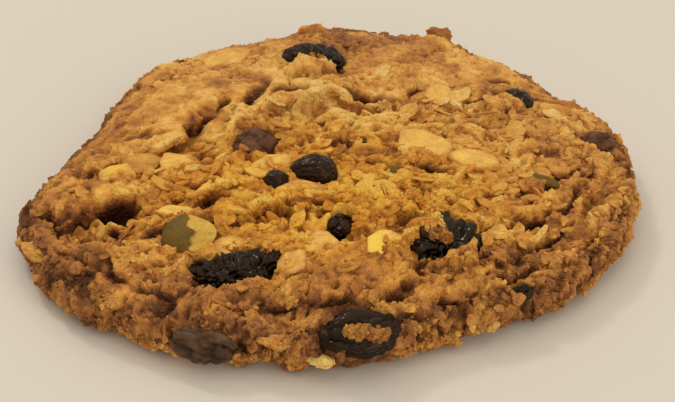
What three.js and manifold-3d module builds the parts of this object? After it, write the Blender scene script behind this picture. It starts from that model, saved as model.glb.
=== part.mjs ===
// A granola cookie: a thick round of baked oat dough, flat underneath and craggy on top, with raisins and a
// pumpkin seed set into it and oat flakes baked into its surface.
// Millimetres, +Z up, the origin under the middle of the flat underside, -Y towards the viewer.
import * as THREE from "three";
import { mergeVertices } from "three/addons/utils/BufferGeometryUtils.js";
import Module from "manifold-3d";

// Driving sizes of the round
const HALF_WIDTH = 44;
const HALF_DEPTH = 37;
const CROWN = 10.5;
const EDGE_HEIGHT = 3;
const DOME_POWER = 4;
const SHOULDER_POWER = 0.35;
const SEAT_GAP = 0.3;

// How finely the round is faceted, in rings from the middle to the rim, closer together towards the rim;
// each ring has six points more than the one inside it
const RINGS = 29;
const RING_CROWDING = 1.2;

// The wall below the rim, from the widest line down to the underside: share of the rim's radius, and height
const WALL = [
  { share: 1.0, height: EDGE_HEIGHT },
  { share: 0.995, height: 2 },
  { share: 0.98, height: 1 },
  { share: 0.955, height: 0.3 },
  { share: 0.93, height: 0 },
];

// Where the rim leaves a plain oval: the middle and spread of each bulge or flat in degrees, and its reach
const LOBES = [
  { at: 164, spread: 16, out: -7 }, // long flat on the far left
  { at: 118, spread: 14, out: -2.5 }, // flatter far side
  { at: 196, spread: 9, out: 3 }, // blunt point on the left
  { at: 214, spread: 7, out: 1.5 }, // corner on the near left
  { at: 230, spread: 15, out: 2 }, // bulge on the near left
  { at: 275, spread: 8, out: 0.2 }, // bulge on the near side
  { at: 299, spread: 13, out: -2.3 }, // flat on the near right
  { at: 326, spread: 9, out: -0.7 }, // flat on the right
  { at: 36, spread: 14, out: -2.2 }, // flat on the far right
  { at: 27, spread: 4, out: -1.8 }, // notch on the far right
  { at: 18, spread: 4, out: 1.2 }, // corner by the raisin at the edge
  { at: 63, spread: 3, out: 1.2 }, // knob on the far right
  { at: 93, spread: 3, out: 1 }, // knob on the far side
  { at: 137, spread: 5, out: 0.8 }, // knob on the far left
  { at: 159, spread: 4, out: 0.9 }, // knob at the end of the flat
];

// Flat-topped lumps of dough pressed together: size of the cell that holds one lump, and its rise
const LUMPS = [
  { cell: 8.5, rise: 2.2, seed: 1 },
  { cell: 4.4, rise: 1, seed: 2 },
  { cell: 2.7, rise: 0.5, seed: 4 },
];
const LUMP_MEAN = 0.74;
const LUMP_POWER = 0.3;
const RIM_LUMPS = { cell: 4.6, rise: 1.8, seed: 3 };

// Shares of the rim's radius where the top's relief dies away and where the rim's own begins
const TOP_RELIEF_END = 0.86;
const RIM_RELIEF_START = 0.7;

// Broad mounds: middle, half sizes and rise
const MOUNDS = [
  { x: -22, y: 9, along: 13, across: 8, rise: 1.6 }, // slab on the far left
  { x: -37, y: -7, along: 6, across: 5, rise: 1.4 }, // lump at the left point
  { x: -4, y: 14, along: 7, across: 4.5, rise: 1.6 }, // lump before the far raisin
  { x: 1, y: 4, along: 9, across: 4, rise: 0.8 }, // crumbly rise in the middle
  { x: -24, y: -29, along: 11, across: 4.5, rise: 0.9 }, // rim on the near left
  { x: 19, y: -30, along: 9, across: 4, rise: 0.8 }, // rim on the near right
  { x: -9, y: -13, along: 12, across: 3, rise: 0.9 }, // shelf below the middle raisins
];

// Cracks and crevices: the line each one follows, its half width and its depth
const CREVICES = [
  { line: [[-44, -11.6], [-36, -14.6], [-28, -14.4]], half: 1.5, depth: 0.9 }, // crack that ends in the cave
  { line: [[-33.5, -14], [-28.5, -13.2]], half: 1.4, depth: 1.4 }, // cave on the left
  { line: [[-33, -17.8], [-27.8, -19.2]], half: 1.2, depth: 1.6 }, // hollow under the cave
  { line: [[-28, -14], [-18, -11.8], [-9, -11]], half: 1.1, depth: 1.2 }, // crack on from the cave
  { line: [[-35, -5], [-24, -2.4], [-18.4, 3.6], [-14, 9.6]], half: 1.4, depth: 1.6 }, // foot of the slab
  { line: [[-9.6, 7.2], [-4.6, 9.8], [1.6, 10.8], [11.8, 12]], half: 1.2, depth: 1.2 }, // foot of far lump
  { line: [[-24, -27.5], [-5.5, -32.2], [2, -32]], half: 1.3, depth: 0.9 }, // groove inside the near rim
  { line: [[12, -34], [16.5, -30.8], [20.8, -29], [26.6, -25.2]], half: 1, depth: 1.5 }, // long near crack
  { line: [[17.5, -17.6], [25.5, -16], [31.5, -14.2], [38, -8]], half: 1.1, depth: 1.2 }, // right crack
  { line: [[27, -20], [34, -17]], half: 1, depth: 1.2 }, // short crack on the right
  { line: [[-5, -17], [3, -18.5], [11, -17]], half: 1.5, depth: 1.4 }, // hollow in the middle
];

// Ledges where a layer broke off: a line from left to right with the high side behind it, and the drop;
// how far from the line the ledge still shows, and half the width of its sloping front
const LEDGES = [
  { line: [[-35, -3.4], [-24.4, -0.6], [-20.4, 4], [-16.1, 10.5]], drop: 2.2 }, // front of the slab
  { line: [[-9.6, 8.8], [-5.1, 11.3], [1.3, 12.4], [11.8, 13.5]], drop: 1.4 }, // front of the far lump
  { line: [[-25.1, -11], [-15.5, -10.1], [-11.4, -8.4]], drop: 1.4 }, // shelf on from the cave
  { line: [[-14.9, -17], [-9, -14.2], [-4.9, -14.8], [1.8, -12.2]], drop: 1.4 }, // arched shelf in the middle
  { line: [[-9.1, -30.8], [-2.8, -31.4], [1.9, -30.4], [5.6, -32.1]], drop: 1.1 }, // shelf above the near rim
  { line: [[11, -33], [15.6, -30], [22.4, -26.4], [26, -24]], drop: 1.5 }, // long near crack
  { line: [[15.7, -27.1], [21.4, -24.2], [29.2, -19.9]], drop: 1 }, // layer on the near right
  { line: [[-43, -9.5], [-36.7, -13.4], [-31.4, -11.8], [-26.9, -10.8]], drop: 1.6 }, // roof of the cave
  { line: [[-34.2, -15.4], [-30.5, -16.1], [-27.1, -17.6]], drop: 1.3 }, // hollow under the cave
  { line: [[-37.1, -19.1], [-28.9, -25.3], [-25.4, -27.6]], drop: 1.1 }, // layer on the near left
  { line: [[-21.3, -29.1], [-15.3, -31.3], [-9.1, -32.7]], drop: 1.3 }, // layer above the raisin at the foot
  { line: [[17.9, -16.6], [25.8, -14.6], [31.4, -13]], drop: 1.1 }, // layer on the right
  { line: [[22.7, -20], [26.9, -18.7], [30.6, -16.6]], drop: 1 }, // short layer on the right
];
const LEDGE_REACH = 2.6;
const LEDGE_SLOPE = 0.8;

// Raisins: middle in plan, how far the middle lies under the dough's own surface or its height where it sits
// on the wall, length, width and thickness, the turn in plan and the lean towards the viewer in degrees
const RAISINS = [
  { name: "raisin_far", x: -2.8, y: 22.4, sunk: 0.1, size: [10.4, 7, 5.4], turn: -18, lean: 8 },
  { name: "raisin_brown", x: -10.8, y: 0.8, sunk: 1.2, size: [7, 6.4, 4.6], turn: -20, lean: 12 },
  { name: "raisin_middle", x: -2.6, y: -6, sunk: 0.4, size: [7.2, 5.2, 5], turn: -8, lean: 18 },
  { name: "raisin_bead", x: -7.8, y: -7.6, sunk: 1, size: [4, 3.6, 3.2], turn: 0, lean: 15 },
  { name: "raisin_long", x: -12.8, y: -25.4, sunk: 0.7, size: [14, 6.4, 4.6], turn: 6, lean: 14 },
  { name: "raisin_split", x: 15, y: -19.8, sunk: 0.8, size: [11.4, 10, 5], turn: -16, lean: 12 },
  { name: "raisin_pit", x: 1.2, y: -16, sunk: 1.5, size: [4.4, 3.8, 3.6], turn: 30, lean: 10 },
  { name: "raisin_ring", x: 3.8, y: -35, sunk: 1.1, size: [11.6, 7, 4.8], turn: 6, lean: 38 },
  { name: "raisin_foot", x: -16.6, y: -34.6, height: 3.8, size: [10.4, 4.8, 5.2], turn: -14, lean: 10 },
  { name: "raisin_corner", x: 26.6, y: 13, sunk: 1.4, size: [7.4, 7, 4.6], turn: 10, lean: 8 },
  { name: "raisin_edge", x: 38.2, y: 4.4, sunk: 1.2, size: [6.4, 5, 4.6], turn: 30, lean: 0 },
  { name: "raisin_speck", x: 25.4, y: -26.6, sunk: 0.7, size: [3.4, 2.4, 2.4], turn: 8, lean: 30 },
];
const RAISIN_FOLDS = 7;
const RAISIN_BANDS = 7;
const FOLD_DEPTH = 0.26;
const RAISIN_HOLLOW = 0.2;

// The pumpkin seed: middle, depth under the surface, length, width and thickness, turn, lean and roll
const PUMPKIN_SEED = { x: -19.2, y: -20, sunk: 0.2, size: [7.6, 6.8, 3], turn: 12, lean: 24, roll: -10 };
const SEED_POINT = 0.3;

// Oat flakes and seed kernels fused to the dough, the largest ones that show: middle, length, width, turn in
// plan, lean towards the viewer and roll sideways in degrees
const FLAKES = [
  { x: 13, y: 0.2, long: 8.4, wide: 6.6, turn: -14, lean: 12, roll: 4 }, // pale split flake
  { x: 20, y: -3.4, long: 7.6, wide: 3.5, turn: -22, lean: 14, roll: 0 }, // smooth kernel
  { x: 7.4, y: -20.8, long: 6, wide: 3.8, turn: 26, lean: 16, roll: 4 }, // bright kernel
  { x: -2.6, y: -20.6, long: 7, wide: 4.2, turn: 2, lean: 12, roll: -4 },
  { x: -5.2, y: -25, long: 5, wide: 4.4, turn: -80, lean: 16, roll: 0 },
  { x: -13.4, y: -21.2, long: 7.4, wide: 4.8, turn: 10, lean: 8, roll: 6 },
  { x: -21.8, y: -3.8, long: 5.4, wide: 5.2, turn: 30, lean: 10, roll: 8 },
  { x: -30.2, y: -5, long: 5.4, wide: 3.2, turn: 22, lean: 42, roll: 0 },
  { x: -27.4, y: -1.8, long: 6.6, wide: 3, turn: 14, lean: 48, roll: 0 },
  { x: -21.6, y: -13.6, long: 5.2, wide: 2.2, turn: -8, lean: 15, roll: 0 },
  { x: -3.6, y: -10.3, long: 7.2, wide: 2.6, turn: -2, lean: 42, roll: 0 },
  { x: 15.8, y: 13.4, long: 4.6, wide: 4.4, turn: -4, lean: 8, roll: 6 },
  { x: -16, y: 24, long: 8, wide: 4.4, turn: 18, lean: 4, roll: -6 },
  { x: 29.8, y: -6.4, long: 5, wide: 2.8, turn: -34, lean: 30, roll: 0 },
  { x: 8.6, y: -5.2, long: 5.2, wide: 2.6, turn: 8, lean: 40, roll: 0 },
  { x: -8.4, y: -4, long: 5.6, wide: 3, turn: 12, lean: 18, roll: 0 },
  { x: -33, y: 8, long: 6, wide: 4, turn: 62, lean: 0, roll: -10 },
];
const FLAKE_THICK = 1.5;
const FLAKE_CURL = 0.35;

// Dough laid over a raisin: middle, depth under the surface, length, width and thickness, and turn
const COVERS = [
  { x: -3.4, y: 18.6, sunk: 0.2, size: [8.4, 4.6, 4.2], turn: 26 }, // before the far raisin
  { x: 12.8, y: -19, sunk: 0.2, size: [7, 5, 5], turn: 10 }, // on the left of the split raisin
  { x: 17.2, y: -23.8, sunk: 0.2, size: [5, 3.6, 3.4], turn: 20 }, // before the split raisin
  { x: 25, y: 11, sunk: 0.2, size: [5.8, 5, 3.4], turn: 0 }, // on the raisin in the far right corner
  { x: -15.6, y: -33, sunk: 0.4, size: [6.8, 3.8, 3], turn: -16 }, // above the raisin at the foot
];

const COLOURS = { dough: 0xb9793a, raisin: 0x241a17, seed: 0x7d7433 };

const degrees = THREE.MathUtils.degToRad;
const smooth = THREE.MathUtils.smoothstep;
const wasm = await Module();
wasm.setup();

// A steady draw from 0 to 1 for a cell of a grid
function draw(column, row, seed) {
  const wave = Math.sin(column * 127.1 + row * 311.7 + seed * 74.7) * 43758.5453;
  return wave - Math.floor(wave);
}

// Radius of the rim at an angle: an oval with its bulges and flats
function rimRadius(angle) {
  const oval = 1 / Math.hypot(Math.cos(angle) / HALF_WIDTH, Math.sin(angle) / HALF_DEPTH);
  return LOBES.reduce((radius, lobe) => {
    const turn = angle - degrees(lobe.at);
    const away = Math.atan2(Math.sin(turn), Math.cos(turn)) / degrees(lobe.spread);
    return radius + lobe.out * Math.exp(-away * away / 2);
  }, oval);
}

// Lumps, one in each cell of a grid: the height, from 0 to 1, of the highest lump over a place
function lumps(x, y, { cell, seed }) {
  const column = Math.floor(x / cell);
  const row = Math.floor(y / cell);
  let highest = 0;
  for (let i = column - 1; i <= column + 1; i++) {
    for (let j = row - 1; j <= row + 1; j++) {
      const middleX = (i + 0.15 + 0.7 * draw(i, j, seed)) * cell;
      const middleY = (j + 0.15 + 0.7 * draw(i, j, seed + 10)) * cell;
      const reach = cell * (0.7 + 0.4 * draw(i, j, seed + 20));
      const height = 0.5 + 0.5 * draw(i, j, seed + 30);
      const share = 1 - ((x - middleX) ** 2 + (y - middleY) ** 2) / reach ** 2;
      highest = Math.max(highest, share > 0 ? height * share ** LUMP_POWER : 0);
    }
  }
  return highest;
}

// The nearest place on a line of points: its distance in plan, the side that the place is on (1 on the left
// of the way along, -1 on the right), and the share of the line's points that lie before it
function nearestOnLine(x, y, line) {
  const place = new THREE.Vector2(x, y);
  let nearest = { away: Infinity };
  for (let i = 1; i < line.length; i++) {
    const start = new THREE.Vector2(...line[i - 1]);
    const step = new THREE.Vector2(...line[i]).sub(start);
    const offset = place.clone().sub(start);
    const along = THREE.MathUtils.clamp(offset.dot(step) / step.lengthSq(), 0, 1);
    const away = offset.distanceTo(step.clone().multiplyScalar(along));
    if (away < nearest.away) {
      nearest = { away, side: Math.sign(step.cross(offset)), way: (i - 1 + along) / (line.length - 1) };
    }
  }
  return nearest;
}

// Height of the plain dome at a share of the rim's radius
function domeHeight(share) {
  return EDGE_HEIGHT + (CROWN - EDGE_HEIGHT) * (1 - share ** DOME_POWER) ** SHOULDER_POWER;
}

// Height of the top over a place in plan: the dome, with mounds, lumps, ledges and crevices
function topHeight(x, y) {
  const share = Math.min(Math.hypot(x, y) / rimRadius(Math.atan2(y, x)), 1);
  const fade = 1 - smooth(share, TOP_RELIEF_END, 1);
  let relief = 0;
  LUMPS.forEach((field) => (relief += field.rise * (lumps(x, y, field) - LUMP_MEAN)));
  MOUNDS.forEach(({ x: mx, y: my, along, across, rise }) => {
    const away = ((x - mx) / along) ** 2 + ((y - my) / across) ** 2;
    relief += rise * Math.exp(-away * away);
  });
  CREVICES.forEach(({ line, half, depth }) => {
    const away = nearestOnLine(x, y, line).away / half;
    relief -= depth * Math.exp(-away * away / 2);
  });
  LEDGES.forEach(({ line, drop }) => {
    const { away, side, way } = nearestOnLine(x, y, line);
    const front = side * Math.min(away / LEDGE_SLOPE, 1);
    relief += front * (drop / 2) * Math.sin(Math.PI * way) ** 0.5 * Math.exp(-away / LEDGE_REACH);
  });
  return domeHeight(share) + fade * relief;
}

// A point on the skin of the round: share of the rim's radius, and height where it isn't on the top
function skinPoint(angle, share, height) {
  const along = angle * HALF_DEPTH;
  const rough = RIM_LUMPS.rise * (lumps(along, height ?? domeHeight(share), RIM_LUMPS) - LUMP_MEAN);
  const radius = share * (rimRadius(angle) + rough * smooth(share, RIM_RELIEF_START, 1));
  const x = radius * Math.cos(angle);
  const y = radius * Math.sin(angle);
  return [x, y, height ?? topHeight(x, y)];
}

// Triangles between a ring of points and the next one out or down, which has extra points in each sixth
function stitch(faces, inner, innerCount, outer, outerCount) {
  let i = 0;
  let o = 0;
  while (i < innerCount || o < outerCount) {
    const stepOuter = i === innerCount || (o < outerCount && (o + 1) / outerCount <= (i + 1) / innerCount);
    const here = [inner + (i % innerCount), outer + (o % outerCount)];
    if (stepOuter) {
      o++;
      faces.push(...here, outer + (o % outerCount));
    } else {
      i++;
      faces.push(...here, inner + (i % innerCount));
    }
  }
}

// The round itself: rings from the middle of the top to the rim, down the wall and under to a flat underside
function roundGeometry() {
  const points = [[0, 0, topHeight(0, 0)]];
  const faces = [];
  let inner = 0;
  let innerCount = 1;
  const addRing = (count, share, height) => {
    const first = points.length;
    for (let k = 0; k < count; k++) {
      points.push(skinPoint((2 * Math.PI * k) / count, share, height));
    }
    stitch(faces, inner, innerCount, first, count);
    inner = first;
    innerCount = count;
  };
  for (let ring = 1; ring < RINGS; ring++) {
    addRing(6 * ring, Math.sin((ring / RINGS) * RING_CROWDING) / Math.sin(RING_CROWDING));
  }
  WALL.forEach(({ share, height }) => addRing(6 * (RINGS - 1), share, height));
  points.push([0, 0, 0]);
  stitch(faces, inner, innerCount, points.length - 1, 1);
  return new THREE.BufferGeometry()
    .setAttribute("position", new THREE.Float32BufferAttribute(points.flat(), 3))
    .setIndex(faces);
}

// A geometry class's shape with only its places left and its shared points merged
function bare(geometry) {
  geometry.deleteAttribute("normal");
  geometry.deleteAttribute("uv");
  return mergeVertices(geometry);
}

// Moves every point of a geometry by a function of its place
function reshape(geometry, move) {
  const places = geometry.getAttribute("position");
  const place = new THREE.Vector3();
  for (let i = 0; i < places.count; i++) {
    move(place.fromBufferAttribute(places, i));
    places.setXYZ(i, place.x, place.y, place.z);
  }
  return geometry;
}

// A wrinkled raisin of a size: a ball with folds that run from end to end and a hollow along its top
function raisinGeometry([long, wide, thick], number, extra = 0) {
  const ball = new THREE.SphereGeometry(1, 2 * RAISIN_FOLDS, RAISIN_BANDS).rotateZ(Math.PI / 2);
  return reshape(bare(ball), (p) => {
    const waist = Math.sqrt(Math.max(0, 1 - p.x * p.x));
    const fold = Math.round((Math.atan2(p.z, p.y) / Math.PI) * RAISIN_FOLDS) + RAISIN_FOLDS;
    const deep = (fold % 2) * FOLD_DEPTH * (0.5 + draw(fold % (2 * RAISIN_FOLDS), number, 7));
    const girth = 1 - deep * waist;
    const hollow = RAISIN_HOLLOW * smooth(p.z, 0.4, 1) * waist;
    p.x *= long / 2 + extra;
    p.y *= girth * (wide / 2 + extra);
    p.z *= (girth - hollow) * (thick / 2 + extra);
  });
}

// A pumpkin seed: a flat drop with one pointed end
function seedGeometry([long, wide, thick], extra = 0) {
  return reshape(bare(new THREE.SphereGeometry(1, 16, 8)), (p) => {
    const taper = 1 - SEED_POINT * smooth(p.x, -0.2, 1);
    p.x *= long / 2 + extra;
    p.y *= taper * (wide / 2 + extra);
    p.z *= taper * (thick / 2 + extra);
  });
}

// A rolled oat flake: a thin round with a lifted edge
function flakeGeometry(long, wide) {
  return reshape(bare(new THREE.SphereGeometry(1, 8, 4)), (p) => {
    p.set((p.x * long) / 2, (p.z * wide) / 2, (-p.y * FLAKE_THICK) / 2 + FLAKE_CURL * p.x * p.x);
  });
}

// Places an object on the dough: its middle, how far under the surface, and its turn, lean and roll
function settle(object, { x, y, sunk = 0, height, turn = 0, lean = 0, roll = 0 }) {
  object.position.set(x, y, height ?? topHeight(x, y) - sunk);
  object.rotation.set(degrees(lean), degrees(roll), degrees(turn), "ZXY");
  object.updateMatrixWorld(true);
  return object;
}

// A geometry in its place as a closed solid that can be joined and cut
function toSolid(geometry, matrix = new THREE.Matrix4()) {
  const placed = mergeVertices(geometry.clone().applyMatrix4(matrix));
  return new wasm.Manifold(
    new wasm.Mesh({
      numProp: 3,
      vertProperties: new Float32Array(placed.getAttribute("position").array),
      triVerts: new Uint32Array(placed.index.array),
    }),
  );
}

// A solid's skin as a geometry
function toGeometry(solid) {
  const mesh = solid.getMesh();
  return new THREE.BufferGeometry()
    .setAttribute("position", new THREE.BufferAttribute(mesh.vertProperties, 3))
    .setIndex(new THREE.BufferAttribute(mesh.triVerts, 1));
}

const raisins = RAISINS.map((raisin, number) => {
  const mesh = new THREE.Mesh(
    raisinGeometry(raisin.size, number),
    new THREE.MeshStandardMaterial({ color: COLOURS.raisin, roughness: 0.45, metalness: 0 }),
  );
  mesh.name = raisin.name;
  return settle(mesh, raisin);
});

const pumpkinSeed = new THREE.Mesh(
  seedGeometry(PUMPKIN_SEED.size),
  new THREE.MeshStandardMaterial({ color: COLOURS.seed, roughness: 0.5, metalness: 0 }),
);
pumpkinSeed.name = "pumpkin_seed";
settle(pumpkinSeed, PUMPKIN_SEED);

// The dough: the round with flakes and lumps fused on, and a close seat cut for each raisin and the seed
function doughGeometry() {
  const flakes = FLAKES.map((flake) =>
    toSolid(flakeGeometry(flake.long, flake.wide), settle(new THREE.Object3D(), flake).matrixWorld),
  );
  const covers = COVERS.map((cover) => {
    const lump = settle(new THREE.Object3D(), cover);
    lump.scale.set(...cover.size.map((side) => side / 2));
    lump.updateMatrixWorld(true);
    return toSolid(bare(new THREE.IcosahedronGeometry(1, 1)), lump.matrixWorld);
  });
  const seats = RAISINS.map((raisin, number) =>
    toSolid(raisinGeometry(raisin.size, number, SEAT_GAP), raisins[number].matrixWorld),
  );
  seats.push(toSolid(seedGeometry(PUMPKIN_SEED.size, SEAT_GAP), pumpkinSeed.matrixWorld));
  let dough = toSolid(roundGeometry());
  [...flakes, ...covers].forEach((piece) => (dough = dough.add(piece)));
  seats.forEach((seat) => (dough = dough.subtract(seat)));
  const bodies = dough.decompose().sort((a, b) => b.volume() - a.volume());
  return toGeometry(bodies[0]);
}

const dough = new THREE.Mesh(
  doughGeometry(),
  new THREE.MeshStandardMaterial({ color: COLOURS.dough, roughness: 0.85, metalness: 0 }),
);
dough.name = "dough";

const cookie = new THREE.Group();
cookie.add(dough, pumpkinSeed, ...raisins);

export default cookie;
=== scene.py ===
"""A granola cookie: a thick round of baked oat dough with raisins, a pumpkin seed, oat flakes and crumbs."""

import bpy
import numpy as np
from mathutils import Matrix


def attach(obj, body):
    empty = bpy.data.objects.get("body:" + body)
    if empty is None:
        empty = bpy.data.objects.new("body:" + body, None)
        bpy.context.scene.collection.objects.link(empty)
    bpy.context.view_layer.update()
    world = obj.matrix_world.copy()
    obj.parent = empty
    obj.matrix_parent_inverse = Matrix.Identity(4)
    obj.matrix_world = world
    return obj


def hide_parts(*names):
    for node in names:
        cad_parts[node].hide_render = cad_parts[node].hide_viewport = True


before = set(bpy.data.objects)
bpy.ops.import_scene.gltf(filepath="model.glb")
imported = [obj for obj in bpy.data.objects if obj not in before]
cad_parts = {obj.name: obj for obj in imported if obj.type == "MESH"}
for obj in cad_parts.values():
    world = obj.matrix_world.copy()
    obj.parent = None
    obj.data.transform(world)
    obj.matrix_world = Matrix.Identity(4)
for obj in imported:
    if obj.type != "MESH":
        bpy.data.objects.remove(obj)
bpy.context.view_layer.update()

# The dough: oats, flour, butter and syrup pressed into a thick round, baked on a tray, so it is flat below.
# It browned most at the rim, and its top broke into lumps, ledges and cracks, with seats for the raisins.
# Sizes are in millimetres, and turns, leans and rolls in degrees.
MM = 0.001
HALF_WIDTH = 44.0
HALF_DEPTH = 37.0
CROWN = 10.5
EDGE_HEIGHT = 3.0
DOME_POWER = 4.0
SHOULDER_POWER = 0.35
WALL_SHARE = (0.995, 0.98, 0.955, 0.93)
WALL_HEIGHT = (2.0, 1.0, 0.3, 0.0)
# Bulges and flats of the rim: middle and spread in degrees, and reach
LOBES = (
    (164, 16, -7), (118, 14, -2.5), (196, 9, 3), (214, 7, 1.5), (230, 15, 2), (275, 8, 0.2), (299, 13, -2.3),
    (326, 9, -0.7), (36, 14, -2.2), (27, 4, -1.8), (18, 4, 1.2), (63, 3, 1.2), (93, 3, 1), (137, 5, 0.8),
    (159, 4, 0.9),
)
GRID_CELLS = 312
TOP_STATIONS = 400


def rim_radius(angle):
    """Radius of the rim at an angle: an oval plus a bell curve for each bulge or flat."""
    radius = 1 / np.hypot(np.cos(angle) / HALF_WIDTH, np.sin(angle) / HALF_DEPTH)
    for at, spread, reach in LOBES:
        turn = angle - np.radians(at)
        away = np.arctan2(np.sin(turn), np.cos(turn)) / np.radians(spread)
        radius = radius + reach * np.exp(-away**2 / 2)
    return radius


def dome_height(share):
    """Height of the plain dome at a share of the rim's radius: nearly flat, falling off at the shoulder."""
    return EDGE_HEIGHT + (CROWN - EDGE_HEIGHT) * (1 - share**DOME_POWER)**SHOULDER_POWER


def disc_grid(cells):
    """A square grid bent into a disc: each square ring becomes a round one, its corners spread along it.
    Gives each point's share of the way out and its angle."""
    side = np.linspace(-1, 1, cells + 1)
    b, a = np.meshgrid(side, side)
    wide = np.abs(a) >= np.abs(b)
    out = np.where(wide, a, b)
    safe = np.where(out == 0, 1, out)
    angle = np.where(wide, np.pi / 4 * b / safe, np.pi / 2 - np.pi / 4 * a / safe)
    return np.abs(out), angle + np.where(out < 0, np.pi, 0)


# The plain round: stations from the middle of the top over the shoulder and down the wall, evenly spaced
top_share = np.sin(np.linspace(0, np.pi / 2, TOP_STATIONS))**0.5
station_share = np.append(top_share, WALL_SHARE)
station_height = np.append(dome_height(top_share), WALL_HEIGHT)
mean_radius = np.sqrt(HALF_WIDTH * HALF_DEPTH)
steps = np.hypot(np.diff(station_share) * mean_radius, np.diff(station_height))
travelled = np.append(0, np.cumsum(steps))
out, angle = disc_grid(GRID_CELLS)
gone = out * travelled[-1]
share = np.interp(gone, travelled, station_share)
plain_height = np.interp(gone, travelled, station_height)
on_wall = gone > travelled[TOP_STATIONS - 1]

# Lumps of dough pressed together: cell that holds one lump, rise and number of the draw
LUMP_FIELDS = ((8.5, 2.2, 1), (4.4, 1.0, 2), (2.7, 0.5, 4))
LUMP_MEAN = 0.74
LUMP_POWER = 0.3
RIM_CELL = 4.6
RIM_RISE = 1.8
RIM_DRAW = 3
TOP_RELIEF_END = 0.86
RIM_RELIEF_START = 0.7
# Broad mounds: middle, half sizes and rise
MOUNDS = (
    (-22, 9, 13, 8, 1.6), (-37, -7, 6, 5, 1.4), (-4, 14, 7, 4.5, 1.6), (1, 4, 9, 4, 0.8),
    (-24, -29, 11, 4.5, 0.9), (19, -30, 9, 4, 0.8), (-9, -13, 12, 3, 0.9),
)
# Crevices between the lumps: line, half width and depth
CREVICES = (
    (((-44, -11.6), (-36, -14.6), (-28, -14.4)), 1.5, 0.9),
    (((-33.5, -14), (-28.5, -13.2)), 1.4, 1.4),
    (((-33, -17.8), (-27.8, -19.2)), 1.2, 1.6),
    (((-28, -14), (-18, -11.8), (-9, -11)), 1.1, 1.2),
    (((-35, -5), (-24, -2.4), (-18.4, 3.6), (-14, 9.6)), 1.4, 1.6),
    (((-9.6, 7.2), (-4.6, 9.8), (1.6, 10.8), (11.8, 12)), 1.2, 1.2),
    (((-24, -27.5), (-5.5, -32.2), (2, -32)), 1.3, 0.9),
    (((12, -34), (16.5, -30.8), (20.8, -29), (26.6, -25.2)), 1, 1.5),
    (((17.5, -17.6), (25.5, -16), (31.5, -14.2), (38, -8)), 1.1, 1.2),
    (((27, -20), (34, -17)), 1, 1.2),
    (((-5, -17), (3, -18.5), (11, -17)), 1.5, 1.4),
)
# Ledges where a layer broke off: line from left to right with the high side behind it, and drop
LEDGES = (
    (((-35, -3.4), (-24.4, -0.6), (-20.4, 4), (-16.1, 10.5)), 2.2),
    (((-9.6, 8.8), (-5.1, 11.3), (1.3, 12.4), (11.8, 13.5)), 1.4),
    (((-25.1, -11), (-15.5, -10.1), (-11.4, -8.4)), 1.4),
    (((-14.9, -17), (-9, -14.2), (-4.9, -14.8), (1.8, -12.2)), 1.4),
    (((-9.1, -30.8), (-2.8, -31.4), (1.9, -30.4), (5.6, -32.1)), 1.1),
    (((11, -33), (15.6, -30), (22.4, -26.4), (26, -24)), 1.5),
    (((15.7, -27.1), (21.4, -24.2), (29.2, -19.9)), 1.0),
    (((-43, -9.5), (-36.7, -13.4), (-31.4, -11.8), (-26.9, -10.8)), 1.6),
    (((-34.2, -15.4), (-30.5, -16.1), (-27.1, -17.6)), 1.3),
    (((-37.1, -19.1), (-28.9, -25.3), (-25.4, -27.6)), 1.1),
    (((-21.3, -29.1), (-15.3, -31.3), (-9.1, -32.7)), 1.3),
    (((17.9, -16.6), (25.8, -14.6), (31.4, -13)), 1.1),
    (((22.7, -20), (26.9, -18.7), (30.6, -16.6)), 1.0),
)
LEDGE_REACH = 2.6
LEDGE_SLOPE = 0.8
# Smoother skin where the dough wasn't broken: middle, half sizes and how much of the roughness is gone
CALM_AREAS = (
    (-22, 9, 13, 8, 0.78), (-36, 2, 8, 7, 0.4), (-35, -8.4, 8, 3.6, 0.65), (-1.6, 10.8, 6.4, 2.4, 0.5),
    (-3.4, 18.6, 4.6, 3, 0.6), (-27, -30, 13, 5, 0.4), (3, -26.4, 9, 4, 0.6), (-9, 17, 4, 4, 0.4),
    (14, 22, 14, 8, 0.35), (30, -4, 5, 4, 0.3),
)
FAR_CALM = 0.45
FAR_CALM_START = 4
FAR_CALM_END = 18
CALM_LUMPS = 0.2
WANDER = 1.1
WANDER_CELL = 2.3


def draw(column, row, series):
    """A steady draw from 0 to 1 for a cell of a grid: the fraction of a large sine of its numbers."""
    wave = np.sin(column * 127.1 + row * 311.7 + series * 74.7) * 43758.5453
    return wave - np.floor(wave)


def smooth(value, low, high):
    """0 below low, 1 above high, and 3t^2 - 2t^3 between."""
    t = np.clip((value - low) / (high - low), 0, 1)
    return t * t * (3 - 2 * t)


def cloud(cell, series, x, y, z=0):
    """Soft noise from -1 to 1: draws at the corners of a lattice, blended smoothly across each cell."""
    corner = [np.floor(axis / cell) for axis in (x, y, z)]
    share = [smooth(axis / cell - low, 0, 1) for axis, low in zip((x, y, z), corner)]
    total = 0
    for i in (0, 1):
        for j in (0, 1):
            for k in (0, 1):
                weight = 1
                for step, part in zip((i, j, k), share):
                    weight = weight * (part if step else 1 - part)
                total = total + weight * draw(corner[0] + i, corner[1] + j, series + 19 * (corner[2] + k))
    return 2 * total - 1


def cells_around(x, y, cell):
    """Column and row of the square cell that holds each place, and then of its eight neighbours."""
    column, row = np.floor(x / cell), np.floor(y / cell)
    for i in (-1, 0, 1):
        for j in (-1, 0, 1):
            yield column + i, row + j


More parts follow.
